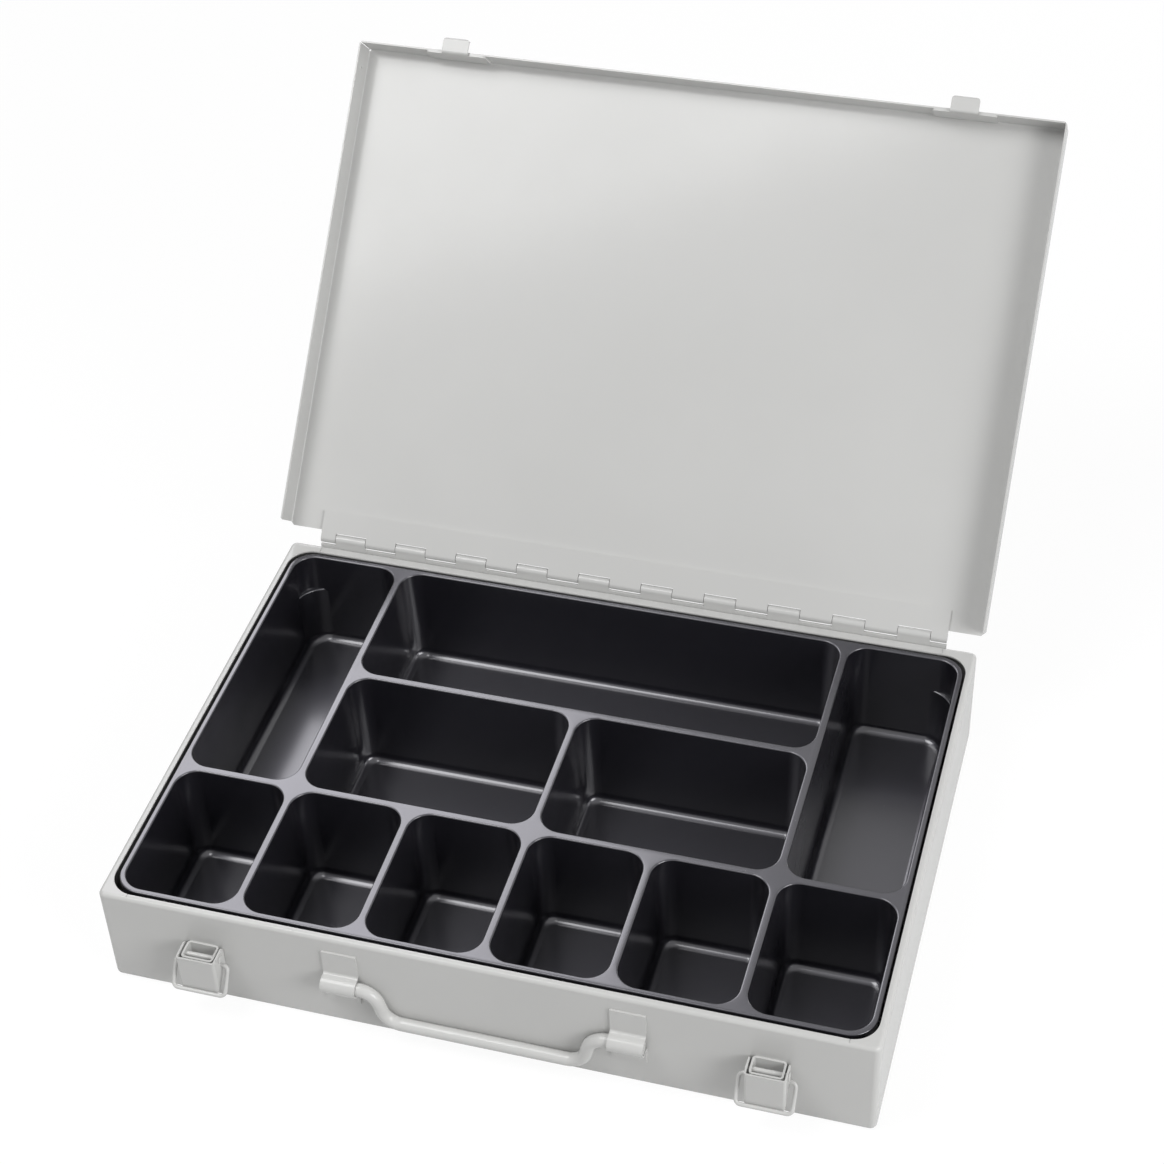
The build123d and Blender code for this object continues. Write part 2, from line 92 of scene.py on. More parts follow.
def camera_axes(azimuth, elevation, roll):
    """The camera's right, up and forward directions for angles in degrees."""
    a, e, r = (math.radians(angle) for angle in (azimuth, elevation, roll))
    forward = Vector((-math.sin(a) * math.cos(e), math.cos(a) * math.cos(e), -math.sin(e)))
    level = Vector((math.cos(a), math.sin(a), 0))
    upright = level.cross(forward)
    right = level * math.cos(r) + upright * math.sin(r)
    up = upright * math.cos(r) - level * math.sin(r)
    return right, up, forward


right, up, forward = camera_axes(**CAMERA_TURNS)
lens = bpy.data.cameras.new("camera")
lens.sensor_width = SENSOR
lens.lens = FOCAL_PIXELS / IMAGE_PIXELS * SENSOR
lens.clip_end = VIEW_REACH
camera = bpy.data.objects.new("camera", lens)
turn = Matrix((right, up, -forward)).transposed().to_4x4()
camera.matrix_world = Matrix.Translation(CAMERA_PLACE * MM) @ turn
bpy.context.scene.collection.objects.link(camera)
bpy.context.scene.camera = camera
print("lens", round(lens.lens, 2), "mm")

# %% [markdown]
# ## The lamps
#
# In a studio, large soft lamps shape such an object: one behind and above it, which the
# black plastic mirrors on every level surface, one in front to the right, a softbox hung
# level above the left front, which fills the open lid, and two faint ones that lift the
# right side and the back. The one behind shows in reflections only, or the pale rims
# would outshine the rest.

# %% Hang the lamps
# Each lamp's place and the point it faces, in metres, its two sides and its watts
LAMPS = {
    "lamp_behind": ((-1.34, 1.6, 1.95), (0, 0, 0.05), (1.7, 1.5), 30),
    "lamp_right": ((1.95, -1.0, 1.15), (0, 0, 0.1), (1.2, 1.2), 31),
    "lamp_side": ((2.3, 0.35, 0.45), (0, 0, 0.05), (1.0, 0.8), 5),
    "lamp_back": ((0.5, 2.3, 0.5), (0, 0, 0.15), (1.4, 0.8), 10),
    "softbox": ((-0.94, -0.64, 2.1), (-0.94, -0.64, 0), (1.3, 1.1), 27.5),
}
COOL_WHITE = (0.955, 0.945, 1.0)
SOFTBOX_TURN = 26.3


def area_lamp(name, place, target, sides, watts):
    """A soft rectangular lamp at one point, turned to face another."""
    lamp = bpy.data.lights.new(name, "AREA")
    lamp.shape = "RECTANGLE"
    lamp.size, lamp.size_y = sides
    lamp.energy = watts
    holder = bpy.data.objects.new(name, lamp)
    holder.location = place
    facing = Vector(target) - Vector(place)
    holder.rotation_euler = facing.to_track_quat("-Z", "Y").to_euler()
    bpy.context.scene.collection.objects.link(holder)
    return holder


lamps = {name: area_lamp(name, *values) for name, values in LAMPS.items()}
lamps["lamp_behind"].data.color = COOL_WHITE
lamps["lamp_behind"].visible_diffuse = False
lamps["softbox"].rotation_euler = (0, 0, math.radians(SOFTBOX_TURN))

# %% [markdown]
# ## World and floor
#
# The world fills the shadows a little, and the box stands on a plain pale floor. Neither
# gives enough light to look white, so we mix in plain white for the camera's own rays. A
# mirror or a glass should show that white as well, so their rays get a share too. On the
# floor it is a smaller one, which keeps the box's own sides from glowing.

# %% Lay the floor and set the world
WORLD_FILL = 0.30
FLOOR_SIZE = 14
PAPER_GREY, PAPER_ROUGHNESS, PAPER_GLOW = 0.62, 0.9, 1.09
PAPER_CAMERA_SHARE, PAPER_MIRROR_SHARE = 0.84, 0.35


def feed(tree, value, socket):
    """Link a node's output to a socket, or set the socket to a plain value."""
    if isinstance(value, bpy.types.NodeSocket):
        tree.links.new(value, socket)
    else:
        socket.default_value = value


def calculate(tree, operation, *values):
    """One calculation with sockets or plain values."""
    maths = tree.nodes.new("ShaderNodeMath")
    maths.operation = operation
    for socket, value in zip(maths.inputs, values):
        feed(tree, value, socket)
    return maths.outputs["Value"]


def seen_share(tree, camera_share, mirror_share):
    """A share for the camera's rays, another by way of a mirror or a glass, else 0."""
    rays = tree.nodes.new("ShaderNodeLightPath")
    seen = 0.0
    for kind, share in (
        ("Is Camera Ray", camera_share),
        ("Is Glossy Ray", mirror_share),
        ("Is Transmission Ray", mirror_share),
    ):
        seen = calculate(tree, "MULTIPLY_ADD", rays.outputs[kind], share, seen)
        seen.node.use_clamp = True
    return seen


def blend(tree, share, first, second, output):
    """Mix two shaders by a share, and send the mix to the tree's output."""
    mix = tree.nodes.new("ShaderNodeMixShader")
    for socket, value in zip(mix.inputs, (share, first, second)):
        feed(tree, value, socket)
    feed(tree, mix.outputs["Shader"], output.inputs["Surface"])


def background(tree, strength):
    """White light of one strength from all round."""
    light = tree.nodes.new("ShaderNodeBackground")
    light.inputs["Color"].default_value = (1, 1, 1, 1)
    light.inputs["Strength"].default_value = strength
    return light.outputs["Background"]


world = bpy.data.worlds.new("studio")
bpy.context.scene.world = world
world.use_nodes = True
sky = world.node_tree
sky.nodes.clear()
fill, white = background(sky, WORLD_FILL), background(sky, 1.0)
blend(sky, seen_share(sky, 1.0, 1.0), fill, white, sky.nodes.new("ShaderNodeOutputWorld"))

bpy.context.scene.view_settings.view_transform = "Standard"
bpy.ops.object.select_all(action="DESELECT")
bpy.ops.mesh.primitive_plane_add(size=FLOOR_SIZE, location=(0, 0, 0))
floor = bpy.context.object
floor.name = "floor"
floor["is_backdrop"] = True

paper = bpy.data.materials.new("floor_paper")
paper.use_nodes = True
tree = paper.node_tree
matt = tree.nodes["Principled BSDF"]
matt.inputs["Base Color"].default_value = (PAPER_GREY, PAPER_GREY, PAPER_GREY, 1)
matt.inputs["Roughness"].default_value = PAPER_ROUGHNESS
lit = tree.nodes.new("ShaderNodeEmission")
lit.inputs["Strength"].default_value = PAPER_GLOW
share = seen_share(tree, PAPER_CAMERA_SHARE, PAPER_MIRROR_SHARE)
blend(tree, share, matt.outputs["BSDF"], lit.outputs["Emission"], tree.nodes["Material Output"])
floor.data.materials.append(paper)

# %% [markdown]
# ## Small tools for modelling
#
# Every piece below is made as by hand: add a primitive, go into edit mode, pick edges or
# faces, and extrude, inset, bevel or spin them. An operator acts on all that is selected,
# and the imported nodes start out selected, so everything is deselected first. More helpers
# take a piece alone, enter and leave edit mode, pick elements by where they are, and
# settle a piece, which writes its place, turn and size into its mesh.

# %% Take a piece and pick parts of it
STRAIGHT = 0.999


def deselect():
    """Deselect every object."""
    bpy.ops.object.select_all(action="DESELECT")


def take(piece):
    """Make one piece the only selected and active object."""
    deselect()
    piece.select_set(True)
    bpy.context.view_layer.objects.active = piece


def edit(piece):
    """Take a piece and enter edit mode."""
    take(piece)
    bpy.ops.object.mode_set(mode="EDIT")


def done():
    """Leave edit mode."""
    bpy.ops.object.mode_set(mode="OBJECT")


def settle():
    """Apply the selected piece's place, turn and size to its mesh."""
    bpy.ops.object.transform_apply(location=True, rotation=True, scale=True)


def pick(kind, test):
    """In edit mode, select the VERT, EDGE or FACE elements that pass a test.

    The test gets an element's middle, in millimetres, and the element itself."""
    bpy.ops.mesh.select_mode(type=kind)
    bpy.ops.mesh.select_all(action="DESELECT")
    mesh = bpy.context.object.data
    shape = bmesh.from_edit_mesh(mesh)
    elements = {"VERT": shape.verts, "EDGE": shape.edges, "FACE": shape.faces}[kind]
    count = 0
    for element in elements:
        ends = [element] if kind == "VERT" else element.verts
        middle = sum((end.co for end in ends), Vector()) / len(ends) / MM
        if test(middle, element):
            element.select_set(True)
            count += 1
    shape.select_flush_mode()
    bmesh.update_edit_mesh(mesh)
    return count


def along(element, axis):
    """Whether an edge runs along one of the axes 0, 1 and 2."""
    run = element.verts[1].co - element.verts[0].co
    return abs(run[axis]) > STRAIGHT * run.length > 0


def looks_along(face, axis):
    """Whether a face looks along one of the axes 0, 1 and 2, either way."""
    return abs(face.normal[axis]) > STRAIGHT


# %% [markdown]
# Blender counts in metres, and our sizes are in millimetres. The next helpers give a
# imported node's box and a joint's axis in millimetres, so that each finished piece takes
# its place from the frame. Two places count as the same when they are very close.

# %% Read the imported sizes
NEAR = 0.02


def near(a, b):
    """Whether two places in millimetres are the same."""
    return abs(a - b) < NEAR


def corners(node):
    """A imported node's lowest and highest corner, in millimetres."""
    low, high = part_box(node)
    return low / MM, high / MM


def pivot(name):
    """A point on the axis of a joint, in millimetres."""
    joint = next(joint for joint in frame["joints"] if joint["name"] == name)
    return Vector(joint["pos_m"]) / MM


hinge = pivot("lid_hinge")
body_low, body_high = corners("body_shell")
insert_low, insert_high = corners("compartment_insert")
print("body", tuple(round(size, 1) for size in body_high - body_low), "mm")
print("hinge axis at", tuple(round(place, 2) for place in hinge))

# %% [markdown]
# The next helpers cover what repeats: blocks, rounded edges, booleans and walls. Each
# modifier is applied at once, so that the next step finds real faces to pick. The last
# helper shades a piece: smooth across small angles, with the big flat faces deciding the
# normals, which keeps sheet metal flat.

# %% Blocks, rounded edges, booleans and walls
MERGE_DISTANCE = 0.005
SMOOTH_ANGLE, FLAT_FACE_WEIGHT = 35, 80


def block(name, low, high):
    """A cube primitive between two corners."""
    deselect()
    low, high = Vector(low), Vector(high)
    bpy.ops.mesh.primitive_cube_add(size=1, location=(low + high) / 2 * MM)
    piece = bpy.context.object
    piece.name = name
    piece.scale = (high - low) * MM
    settle()
    return piece


def round_edges(piece, test, radius, segments=6):
    """Round the edges that pass a test."""
    edit(piece)
    pick("EDGE", test)
    bpy.ops.mesh.bevel(offset=radius * MM, segments=segments, affect="EDGES")
    done()


def drop_faces(piece, test):
    """Open a piece where its faces pass a test."""
    edit(piece)
    pick("FACE", test)
    bpy.ops.mesh.delete(type="FACE")
    done()


def apply_modifier(piece, kind, **settings):
    """Add one modifier, set it and apply it."""
    take(piece)
    bpy.ops.object.modifier_add(type=kind)
    change = piece.modifiers[-1]
    for name, value in settings.items():
        setattr(change, name, value)
    bpy.ops.object.modifier_apply(modifier=change.name)


def combine(piece, tool, operation):
    """Join, cut or cross a piece with a tool, which is used up."""
    apply_modifier(piece, "BOOLEAN", operation=operation, object=tool, solver="EXACT")
    bpy.data.objects.remove(tool, do_unlink=True)


def thicken(piece, wall, toward=None):
    """Give a skin a wall, behind its faces, or toward a direction from its first face."""
    side = -1
    if toward is not None:
        side = 1 if piece.data.polygons[0].normal.dot(Vector(toward)) > 0 else -1
    apply_modifier(piece, "SOLIDIFY", thickness=wall * MM, offset=side, use_even_offset=True)


def face_out(piece):
    """Merge doubles and turn every face of a closed piece outwards."""
    edit(piece)
    bpy.ops.mesh.select_all(action="SELECT")
    bpy.ops.mesh.remove_doubles(threshold=MERGE_DISTANCE * MM)
    bpy.ops.mesh.normals_make_consistent(inside=False)
    done()


def shade(piece):
    """Smooth shading across small angles, with flat faces kept flat."""
    take(piece)
    bpy.ops.object.shade_smooth_by_angle(angle=math.radians(SMOOTH_ANGLE))
    apply_modifier(piece, "WEIGHTED_NORMAL", keep_sharp=True, weight=FLAT_FACE_WEIGHT)


# %% [markdown]
# Bent sheet, wire and rod are all the same idea: an outline travels along a route,
# straight in the runs and round at the corners. So one helper extrudes the selected edges
# along a route and spins them round each bend. Blender's spin turns against the usual
# hand, so the angle goes in with a minus sign.

# %% Follow a route with an outline
def follow(route, radii, steps=6):
    """In edit mode, extrude the selected edges along a route, and spin them at its bends.

    radii gives the radius of each corner between the two ends; steps are for a right angle."""
    route = [Vector(point) for point in route]
    here = route[0]
    for before, corner, after, radius in zip(route, route[1:], route[2:], radii):
        come, go = (corner - before).normalized(), (after - corner).normalized()
        angle = come.angle(go)
        axis = come.cross(go).normalized()
        reach = radius * math.tan(angle / 2)
        start = corner - come * reach
        if (start - here).length > NEAR:
            bpy.ops.mesh.extrude_edges_move(
                TRANSFORM_OT_translate={"value": (start - here) * MM}
            )
        bpy.ops.mesh.spin(
            steps=max(2, round(steps * angle / math.radians(90))),
            angle=-angle,
            center=(start + axis.cross(come) * radius) * MM,
            axis=axis,
        )
        here = corner + go * reach
    bpy.ops.mesh.extrude_edges_move(TRANSFORM_OT_translate={"value": (route[-1] - here) * MM})


def strip(name, width, middle, route, radii, wall, toward):
    """A bent strip of sheet: one edge across X follows a route of (y, z) points.

    Its wall grows toward a direction from the route's first run."""
    y, z = route[0]
    deselect()
    bpy.ops.mesh.primitive_plane_add(size=width * MM, location=Vector((middle, y, z)) * MM)
    piece = bpy.context.object
    piece.name = name
    settle()
    edit(piece)
    pick("VERT", lambda place, _: place.y > y)
    bpy.ops.mesh.delete(type="VERT")
    pick("VERT", lambda place, _: True)
    bpy.ops.transform.translate(value=(0, width / 2 * MM, 0))
    bpy.ops.mesh.select_mode(type="EDGE")
    follow([(middle, *point) for point in route], radii)
    done()
    face_out(piece)
    thicken(piece, wall, toward)
    face_out(piece)
    return piece


def rod(name, radius, route, bend=0, sides=28, steps=8):
    """A round bar that starts along X and follows a route with one bend radius."""
    deselect()
    bpy.ops.mesh.primitive_circle_add(
        vertices=sides,
        radius=radius * MM,
        location=Vector(route[0]) * MM,
        rotation=(0, math.radians(90), 0),
    )
    piece = bpy.context.object
    piece.name = name
    settle()
    edit(piece)
    pick("EDGE", lambda place, _: True)
    follow(route, [bend] * (len(route) - 2), steps)
    bpy.ops.mesh.select_all(action="SELECT")
    bpy.ops.mesh.fill_holes(sides=0)
    done()
    face_out(piece)
    return piece


# %% [markdown]
# ## The folded body
#
# The real body is one sheet of steel, folded up on four sides, with its rim turned
# inward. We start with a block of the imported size, round its corners and folds, and let
# Solidify grow the sheet inwards. The opening is cut afterwards with a rounded block,
# because that leaves the rim's inner edge square and crisp, like a stamped sheet.

# %% Fold the body
SHEET = 1.0
CORNER_ROUND = 4.0
BASE_FOLD = 3.8
RIM_FOLD = 2.5
RIM_SIDE, RIM_FRONT, RIM_BACK = 4.0, 3.8, 7.0
RIM_CORNER = 15.0

body = block("body_painted", body_low, body_high)
round_edges(body, lambda _, edge: along(edge, 2), CORNER_ROUND, segments=8)
round_edges(body, lambda place, _: near(place.z, body_low.z), BASE_FOLD)
round_edges(body, lambda place, _: near(place.z, body_high.z), RIM_FOLD)
thicken(body, SHEET)

opening = block(
    "opening",
    (body_low.x + RIM_SIDE, body_low.y + RIM_FRONT, body_high.z - 2 * SHEET),
    (body_high.x - RIM_SIDE, body_high.y - RIM_BACK, body_high.z + SHEET),
)
round_edges(opening, lambda _, edge: along(edge, 2), RIM_CORNER, segments=14)
combine(body, opening, "DIFFERENCE")
print("body faces", len(body.data.polygons))

# %% [markdown]
# Near the corners, the front and back rims meet the side rims in fine seams. Four thin
# blocks cut these a few tenths of a millimetre deep.

# %% Cut the rim seams
SEAM = 0.4
SEAM_FRONT_INSET, SEAM_BACK_INSET = 17.5, 21.0

for side in (-1, 1):
    for inset, edge_y, reach in (
        (SEAM_FRONT_INSET, body_low.y, 2 * RIM_FRONT),
        (SEAM_BACK_INSET, body_high.y, -2 * RIM_BACK),
    ):
        x = side * (body_high.x - inset)
        first, last = sorted((edge_y, edge_y + reach))
        seam = block(
            "seam",
            (x - SEAM / 2, first - SHEET, body_high.z - SEAM),
            (x + SEAM / 2, last, body_high.z + SHEET),
        )
        combine(body, seam, "DIFFERENCE")
face_out(body)
shade(body)

# %% [markdown]
# ## The lid
#
# The lid is easier to model shut, where its walls run along the axes, and to swing open
# at the end. The helper turns a piece about the hinge and applies the turn, so the
# piece's own place stays at the origin.

# %% Swing a piece open about the hinge
OPEN_ANGLE = 133.5


def turn_about_hinge(piece, degrees, axis="X"):
    """Turn a piece about a line through the hinge, and apply the turn."""
    take(piece)
    away = Matrix.Translation(hinge * MM)
    turn = Matrix.Rotation(math.radians(degrees), 4, axis)
    piece.matrix_world = away @ turn @ away.inverted()
    settle()


# %% [markdown]
# The lid is a shallow pan of the same sheet, with flanges at the front and the sides and
# none along the hinge. So we round a block's top edges and front corners, open it below
# and at the back, and give it the sheet's thickness.

# %% Fold the lid
LID_HALF_WIDTH = corners("lid_shell")[1].x
LID_INSIDE = -1.6
LID_FLANGE = 20.0
LID_BACK, LID_FRONT = 4.7, 321.5
LID_CORNER, LID_FOLD = 2.4, 2.0

lid_top = hinge.z + LID_INSIDE + SHEET
lid_tip = lid_top - LID_FLANGE
lid_front = hinge.y - LID_FRONT
lid_back = hinge.y - LID_BACK
lid = block(
    "lid_painted", (-LID_HALF_WIDTH, lid_front, lid_tip), (LID_HALF_WIDTH, lid_back, lid_top)
)
round_edges(
    lid, lambda at, edge: along(edge, 2) and near(at.y, lid_front), LID_CORNER, segments=5
)
round_edges(lid, lambda at, _: near(at.z, lid_top) and not near(at.y, lid_back), LID_FOLD)
drop_faces(lid, lambda at, _: near(at.z, lid_tip) or near(at.y, lid_back))
thicken(lid, SHEET)
print("lid faces", len(lid.data.polygons))

# %% [markdown]
# Where the flanges meet at a front corner, the sheet has a slit with a small relief hole
# at its root, so that it folds without tearing. Each side flange has a hole, and the
# back corners are cut off. All of these are cut with blocks and short cylinders.

# %% Slit and pierce the lid
SLIT = 0.6
RELIEF_HOLE, SIDE_HOLE = 2.4, 2.0
SIDE_HOLE_FROM_FRONT, SIDE_HOLE_DROP = 15.8, 11.4
# A square block, turned onto its corner and squashed so that its tips reach BACK_CUT
BACK_CUT, BACK_CUT_SQUASH = 3.0, (0.707, 0.707, 1.2, 1)
DRILL_SIDES = 24


def drill(piece, diameter, place, axis, depth):
    """Cut a round hole through a piece along X, Y or Z."""
    turn = {"X": (0, math.radians(90), 0), "Y": (math.radians(90), 0, 0), "Z": (0, 0, 0)}
    deselect()
    bpy.ops.mesh.primitive_cylinder_add(
        vertices=DRILL_SIDES,
        radius=diameter / 2 * MM,
        depth=depth * MM,
        location=Vector(place) * MM,
        rotation=turn[axis],
    )
    combine(piece, bpy.context.object, "DIFFERENCE")


def on_corner(place, side=1):
    """The two matrices that turn a tool onto its corner and move it to a place."""
    return Matrix.Translation(place * MM), Matrix.Rotation(math.radians(side * 45), 4, "Z")


for side in (-1, 1):
    corner = Vector((side * (LID_HALF_WIDTH - SHEET), lid_front + SHEET, lid_top))
    slit = block("slit", (-LID_FOLD * 2, -SLIT / 2, -LID_FLANGE), (LID_FOLD * 2, SLIT / 2, 0))
    move, turn = on_corner(corner - Vector((0, 0, SHEET + LID_FOLD)), -side)
    slit.matrix_world = move @ turn
    combine(lid, slit, "DIFFERENCE")
    drill(lid, RELIEF_HOLE, corner, "Z", 4 * SHEET)
    cut = block("cut", (-BACK_CUT, -BACK_CUT, -LID_FLANGE), (BACK_CUT, BACK_CUT, SHEET))
    move, turn = on_corner(Vector((side * LID_HALF_WIDTH, lid_back, lid_top)))
    cut.matrix_world = move @ Matrix.Diagonal(BACK_CUT_SQUASH) @ turn
    combine(lid, cut, "DIFFERENCE")
side_hole = (0, lid_front + SIDE_HOLE_FROM_FRONT, lid_top - SIDE_HOLE_DROP)
drill(lid, SIDE_HOLE, side_hole, "X", 2 * (LID_HALF_WIDTH + 2 * SHEET))
face_out(lid)
shade(lid)
turn_about_hinge(lid, -OPEN_ANGLE)

# %% [markdown]
# ## The piano hinge
#
# A piano hinge is two long leaves, rolled round one pin. Each leaf's edge is notched, and
# the tongues that are left are curled into knuckles. One knuckle is a strip that runs up
# the plate, round the pin and back almost to the plate, so `knuckle` makes it from a short
# run and one spin. One is made at each place along the hinge, and all are joined to their
# plate with one boolean.

# %% Roll the knuckles
PITCH = 20.55
KNUCKLES = 21
HALF_HINGE = PITCH * (KNUCKLES - 1) / 2
KNUCKLE_GAP = 0.35
LEAF = 1.5
LEAF_WIDTH = 17.3
BARREL = 3.1
LEAF_SLOT = 3.4
KNUCKLE_ROOT = 6.0
ROLL_TURN, ROLL_STEPS = 292, 26


def knuckle_spans(first):
    """The middle and the length of every second knuckle, from the first one."""
    last = KNUCKLES - 1
    for number in range(first, KNUCKLES, 2):
        middle = (number - last / 2) * PITCH
        if number in (0, last):
            inward = PITCH / 4 if number == 0 else -PITCH / 4
            yield middle + inward, PITCH / 2 - KNUCKLE_GAP
        else:
            yield middle, PITCH - KNUCKLE_GAP


def knuckle(middle, length):
    """One knuckle of an upright leaf whose plate is in front of the pin."""
    deselect()
    bpy.ops.mesh.primitive_plane_add(size=1, location=Vector((middle, hinge.y, hinge.z)) * MM)
    piece = bpy.context.object
    piece.scale = (length * MM, BARREL * 2 * MM, 1)
    settle()
    edit(piece)
    pick("VERT", lambda at, _: at.y > hinge.y)
    bpy.ops.mesh.delete(type="VERT")
    pick("VERT", lambda at, _: True)
    bpy.ops.transform.translate(value=(0, 0, -KNUCKLE_ROOT * MM))
    bpy.ops.mesh.select_mode(type="EDGE")
    bpy.ops.mesh.extrude_edges_move(TRANSFORM_OT_translate={"value": (0, 0, KNUCKLE_ROOT * MM)})
    bpy.ops.mesh.spin(
        steps=ROLL_STEPS, angle=-math.radians(ROLL_TURN), center=hinge * MM, axis=(-1, 0, 0)
    )
    done()
    return piece


def join(pieces, name):
    """Join several objects into one."""
    deselect()
    for piece in pieces:
        piece.select_set(True)
    bpy.context.view_layer.objects.active = pieces[0]
    bpy.ops.object.join()
    joined = bpy.context.object
    joined.name = name
    return joined


def leaf(name, first):
    """An upright leaf with its plate in front of the pin, and its knuckles on top."""
    rolls = join([knuckle(middle, length) for middle, length in knuckle_spans(first)], "rolls")
    thicken(rolls, LEAF, (0, 1, 0))
    face_out(rolls)
    plate = block(
        name,
        (-HALF_HINGE, hinge.y - BARREL, hinge.z - LEAF_WIDTH),
        (HALF_HINGE, hinge.y - BARREL + LEAF, hinge.z - LEAF_SLOT),
    )
    combine(plate, rolls, "UNION")
    face_out(plate)
    return plate


leaf_body = leaf("hinge_leaf_body_rolled", 1)
shade(leaf_body)
print("hinge leaf top at", round(max(v.co.z for v in leaf_body.data.vertices) / MM, 2))

# %% [markdown]
# The lid's leaf is the same shape with the knuckles in the other places. On the shut lid
# its plate would lie flat under the sheet, so we turn the upright leaf down about the pin
# before we swing it open with the lid. The pin is a long cylinder with bevelled ends.

# %% Place the lid's leaf and the pin
PIN, PIN_BEVEL = 3.0, 0.3

leaf_lid = leaf("hinge_leaf_lid_rolled", 0)
shade(leaf_lid)
turn_about_hinge(leaf_lid, 180, Vector((0, 1, 1)))
turn_about_hinge(leaf_lid, -OPEN_ANGLE)

pin_line = [(-HALF_HINGE, *hinge.yz), (HALF_HINGE, *hinge.yz)]
pin = rod("hinge_pin_steel", PIN / 2, pin_line)
round_edges(pin, lambda at, _: near(abs(at.x), HALF_HINGE), PIN_BEVEL, segments=2)
shade(pin)

# %% [markdown]
# ## The two catches
#
# Inside the lid's front flange sit two catch plates. Each carries a hook: a strip that
# passes under the flange's edge and turns up in front of it, where the latch's wire takes
# hold. The hook is a strip with two bends, crossed with a rounded block for its soft
# corners, and joined to a small rounded plate.

# %% Bend the catches
LATCH_SHIFT, LATCH_SPACING = 1.3, 328.6
CATCH_WIDTH, CATCH_HEIGHT, CATCH_WALL, CATCH_CORNER = 40.0, 17.5, 1.2, 2.0
HOOK_WIDTH, HOOK_DROP, HOOK_REACH, HOOK_TIP = 17.5, 1.3, 8.0, 4.2
HOOK_BEND, HOOK_CORNER = 1.5, 2.5
latch_left = LATCH_SHIFT - LATCH_SPACING / 2


def twin(piece, name, shift):
    """A copy of a piece with its own mesh, moved along X."""
    take(piece)
    bpy.ops.object.duplicate()
    copy = bpy.context.object
    copy.name = name
    copy.location.x = shift * MM
    settle()
    return copy


flange_inside = lid_front + SHEET
plate_back = flange_inside + CATCH_WALL
hook_low = lid_tip - HOOK_DROP - CATCH_WALL
hook_front = lid_front - HOOK_REACH
hook = strip(
    "hook",
    HOOK_WIDTH,
    latch_left,
    [
        (plate_back, lid_tip + CATCH_WALL),
        (plate_back, hook_low),
        (hook_front, hook_low),
        (hook_front, hook_low + HOOK_TIP),
    ],
    [HOOK_BEND, HOOK_BEND],
    CATCH_WALL,
    (0, -1, 0),
)
space = block(
    "space",
    (latch_left - HOOK_WIDTH / 2, hook_front, hook_low - SHEET),
    (latch_left + HOOK_WIDTH / 2, plate_back + SHEET, lid_top),
)
round_edges(space, lambda at, edge: along(edge, 2) and near(at.y, hook_front), HOOK_CORNER)
combine(hook, space, "INTERSECT")
catch_left = block(
    "lid_catch_left_bent",
    (latch_left - CATCH_WIDTH / 2, flange_inside, lid_tip),
    (latch_left + CATCH_WIDTH / 2, plate_back, lid_tip + CATCH_HEIGHT),
)
round_edges(catch_left, lambda _, edge: along(edge, 1), CATCH_CORNER, segments=5)
combine(catch_left, hook, "UNION")
face_out(catch_left)
shade(catch_left)
turn_about_hinge(catch_left, -OPEN_ANGLE)
catch_right = twin(catch_left, "lid_catch_right_bent", LATCH_SPACING)

# %% [markdown]
# ## The toggle latches
#
# Each latch has a short sheet tube, welded to the front wall with its open end up. A
# rivet crosses it, a folded lever turns on that rivet in front of the tube, and a wire
# bail turns in the lever. The tube is a rounded block without its ends.

# %% Fold the tubes
TUBE_WALL, TUBE_CORNER = 1.2, 2.2
tube_low, tube_high = corners("latch_tube_left")
tube_left = block("latch_tube_left_folded", tube_low, tube_high)
round_edges(tube_left, lambda _, edge: along(edge, 2), TUBE_CORNER)
drop_faces(tube_left, lambda at, _: near(at.z, tube_low.z) or near(at.z, tube_high.z))
thicken(tube_left, TUBE_WALL)
face_out(tube_left)
shade(tube_left)
tube_right = twin(tube_left, "latch_tube_right_folded", LATCH_SPACING)

# %% [markdown]
# The lever is a block whose back is cut to the ears' slanted outline by two bisects. It
# is opened at the back and at both ends and given a wall, which leaves a front plate with
# two ears. The rivet and the bail each get a bore through both ears.

# %% Fold the levers
LEVER_WALL, LEVER_FOLD = 1.0, 1.8
EAR_WAIST, EAR_FOOT = (2.0, -13.5), 3.5
EAR_BACK_ROUND, EAR_LOWER_ROUND = 3.4, 2.0
RIVET_BORE, BAIL_BORE = 3.2, 2.5
# A normal's least share along Y, for a face that looks back
BACKWARD = 0.05
lever_low, lever_high = corners("latch_lever_left")
latch_axis = pivot("latch_lever_left_pivot")
waist = Vector((0, latch_axis.y + EAR_WAIST[0], latch_axis.z + EAR_WAIST[1]))
foot = Vector((0, lever_low.y + EAR_FOOT, lever_low.z))
heel = Vector((0, lever_high.y, latch_axis.z))


def slice_back(piece, upper, lower):
    """Cut away what lies behind the line through two points, in a side view."""
    edit(piece)
    bpy.ops.mesh.select_all(action="SELECT")
    run = upper - lower
    bpy.ops.mesh.bisect(
        plane_co=lower * MM,
        plane_no=(0, run.z, -run.y),
        use_fill=True,
        clear_outer=True,
    )
    done()


